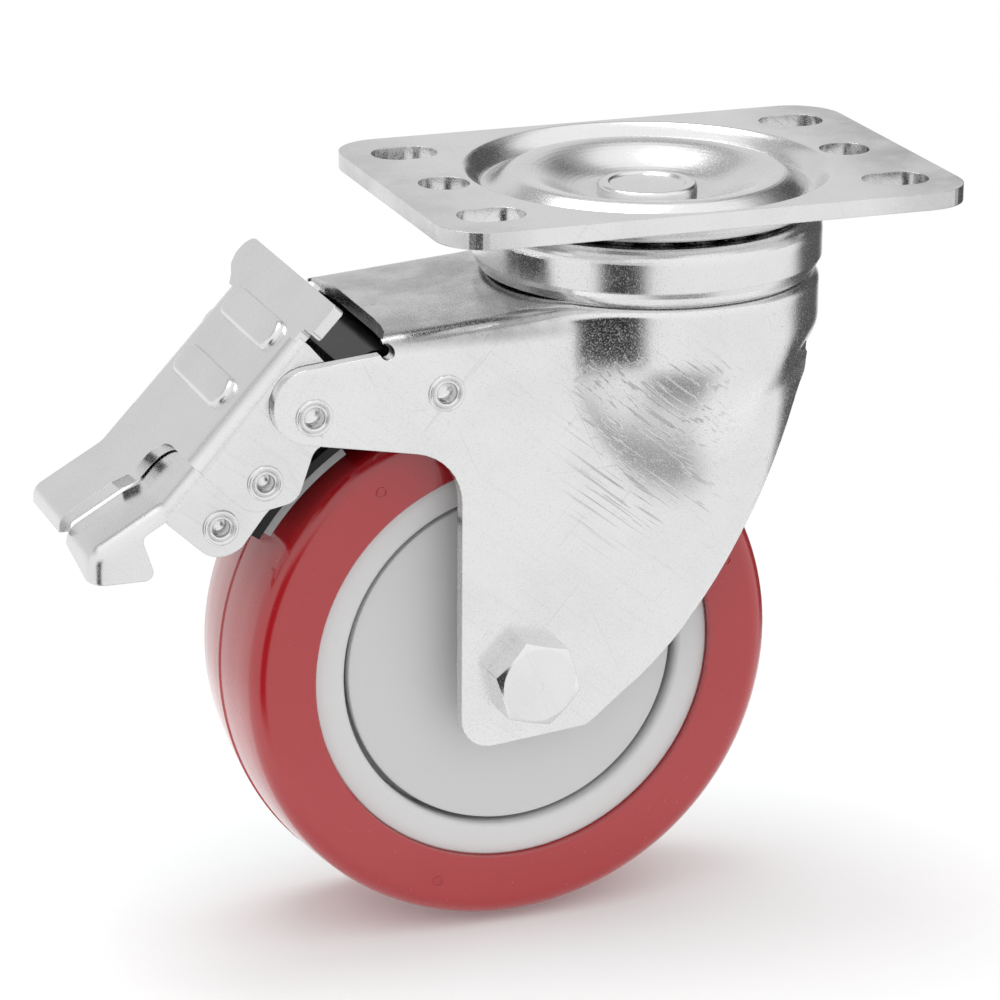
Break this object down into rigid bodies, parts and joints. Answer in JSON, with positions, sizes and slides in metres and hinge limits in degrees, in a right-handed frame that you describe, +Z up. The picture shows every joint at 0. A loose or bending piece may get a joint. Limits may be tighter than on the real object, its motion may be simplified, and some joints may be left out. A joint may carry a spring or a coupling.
{
  "type": "swivel castor",
  "caption": "Swivel castor with a slotted top plate, a double ball race head, a pressed fork, a rubbery tread on a plastic rim, and a pedal brake that locks the wheel and the swivel together.",
  "frame": {"origin": "middle of the plate's top face, on the swivel axis", "axes": "+Z up, out of the plate's top face; the wheel trails towards -X and the plate's long side lies along X; +Y along the axle, towards the nut"},
  "size_m": [0.1569, 0.068, 0.134],
  "materials": {
    "zinc_plate": "bright zinc plated pressed sheet, smooth and glossy with fine scratches",
    "zinc_fastener": "zinc plated, semi-gloss",
    "turned_steel": "turned steel, lightly oiled",
    "bearing_steel": "ground and polished bearing steel",
    "black_steel": "black, glossy",
    "spring_steel": "dark drawn wire",
    "black_nylon": "matt black nylon",
    "shoe_rubber": "grey rubber, matt",
    "rim_plastic": "light grey polypropylene, satin",
    "cap_plastic": "light grey polypropylene, satin",
    "red_polyurethane": "red cast polyurethane, glossy"
  },
  "bodies": {
    "mount": {"top_plate": "zinc_plate", "king_pin": "zinc_fastener", "pin_spacer": "turned_steel", "lower_race": "turned_steel", "lock_ring": "turned_steel"},
    "swivel_fork": {"bearing_cup": "zinc_plate", "crown_ring": "zinc_plate", "upper_balls": "bearing_steel", "lower_balls": "bearing_steel", "fork": "zinc_plate", "axle_bolt": "zinc_fastener", "axle_nut": "zinc_fastener", "nut_washer": "zinc_fastener", "axle_sleeve": "turned_steel", "pedal_pivot": "zinc_fastener", "arm_pivot": "zinc_fastener", "pivot_bush": "black_nylon", "arm_spacers": "turned_steel", "return_spring": "spring_steel", "front_inner_ring": "bearing_steel", "rear_inner_ring": "bearing_steel"},
    "pedal": {"brake_pedal": "zinc_plate", "pedal_rivet": "zinc_fastener"},
    "release": {"release_lever": "zinc_plate", "release_rivet": "zinc_fastener"},
    "brake_arm": {"brake_arm": "black_steel", "brake_shoe": "shoe_rubber"},
    "wheel": {"rim": "rim_plastic", "tyre": "red_polyurethane", "front_cap": "cap_plastic", "rear_cap": "cap_plastic", "front_outer_ring": "bearing_steel", "rear_outer_ring": "bearing_steel", "front_bearing_balls": "bearing_steel", "rear_bearing_balls": "bearing_steel"}
  },
  "joints": [
    {"name": "swivel", "type": "hinge", "parent": "mount", "child": "swivel_fork", "pos_m": [0, 0, 0], "axis": [0, 0, 1], "continuous": true},
    {"name": "wheel_spin", "type": "hinge", "parent": "swivel_fork", "child": "wheel", "pos_m": [-0.03, 0, -0.084], "axis": [0, 1, 0], "continuous": true},
    {"name": "pedal_press", "type": "hinge", "parent": "swivel_fork", "child": "pedal", "pos_m": [-0.0691, 0, -0.0327], "axis": [0, 1, 0], "range_deg": [-12, 0]},
    {"name": "release_lift", "type": "hinge", "parent": "pedal", "child": "release", "pos_m": [-0.077, 0, -0.0443], "axis": [0, 1, 0], "range_deg": [-5, 0]},
    {"name": "arm_swing", "type": "hinge", "parent": "swivel_fork", "child": "brake_arm", "pos_m": [-0.0454, 0, -0.0307], "axis": [0, 1, 0], "range_deg": [-3.55, 0.05]}
  ],
  "couplings": [
    {"joint": "arm_swing", "follows": "pedal_press", "ratio": 0.2917}
  ]
}
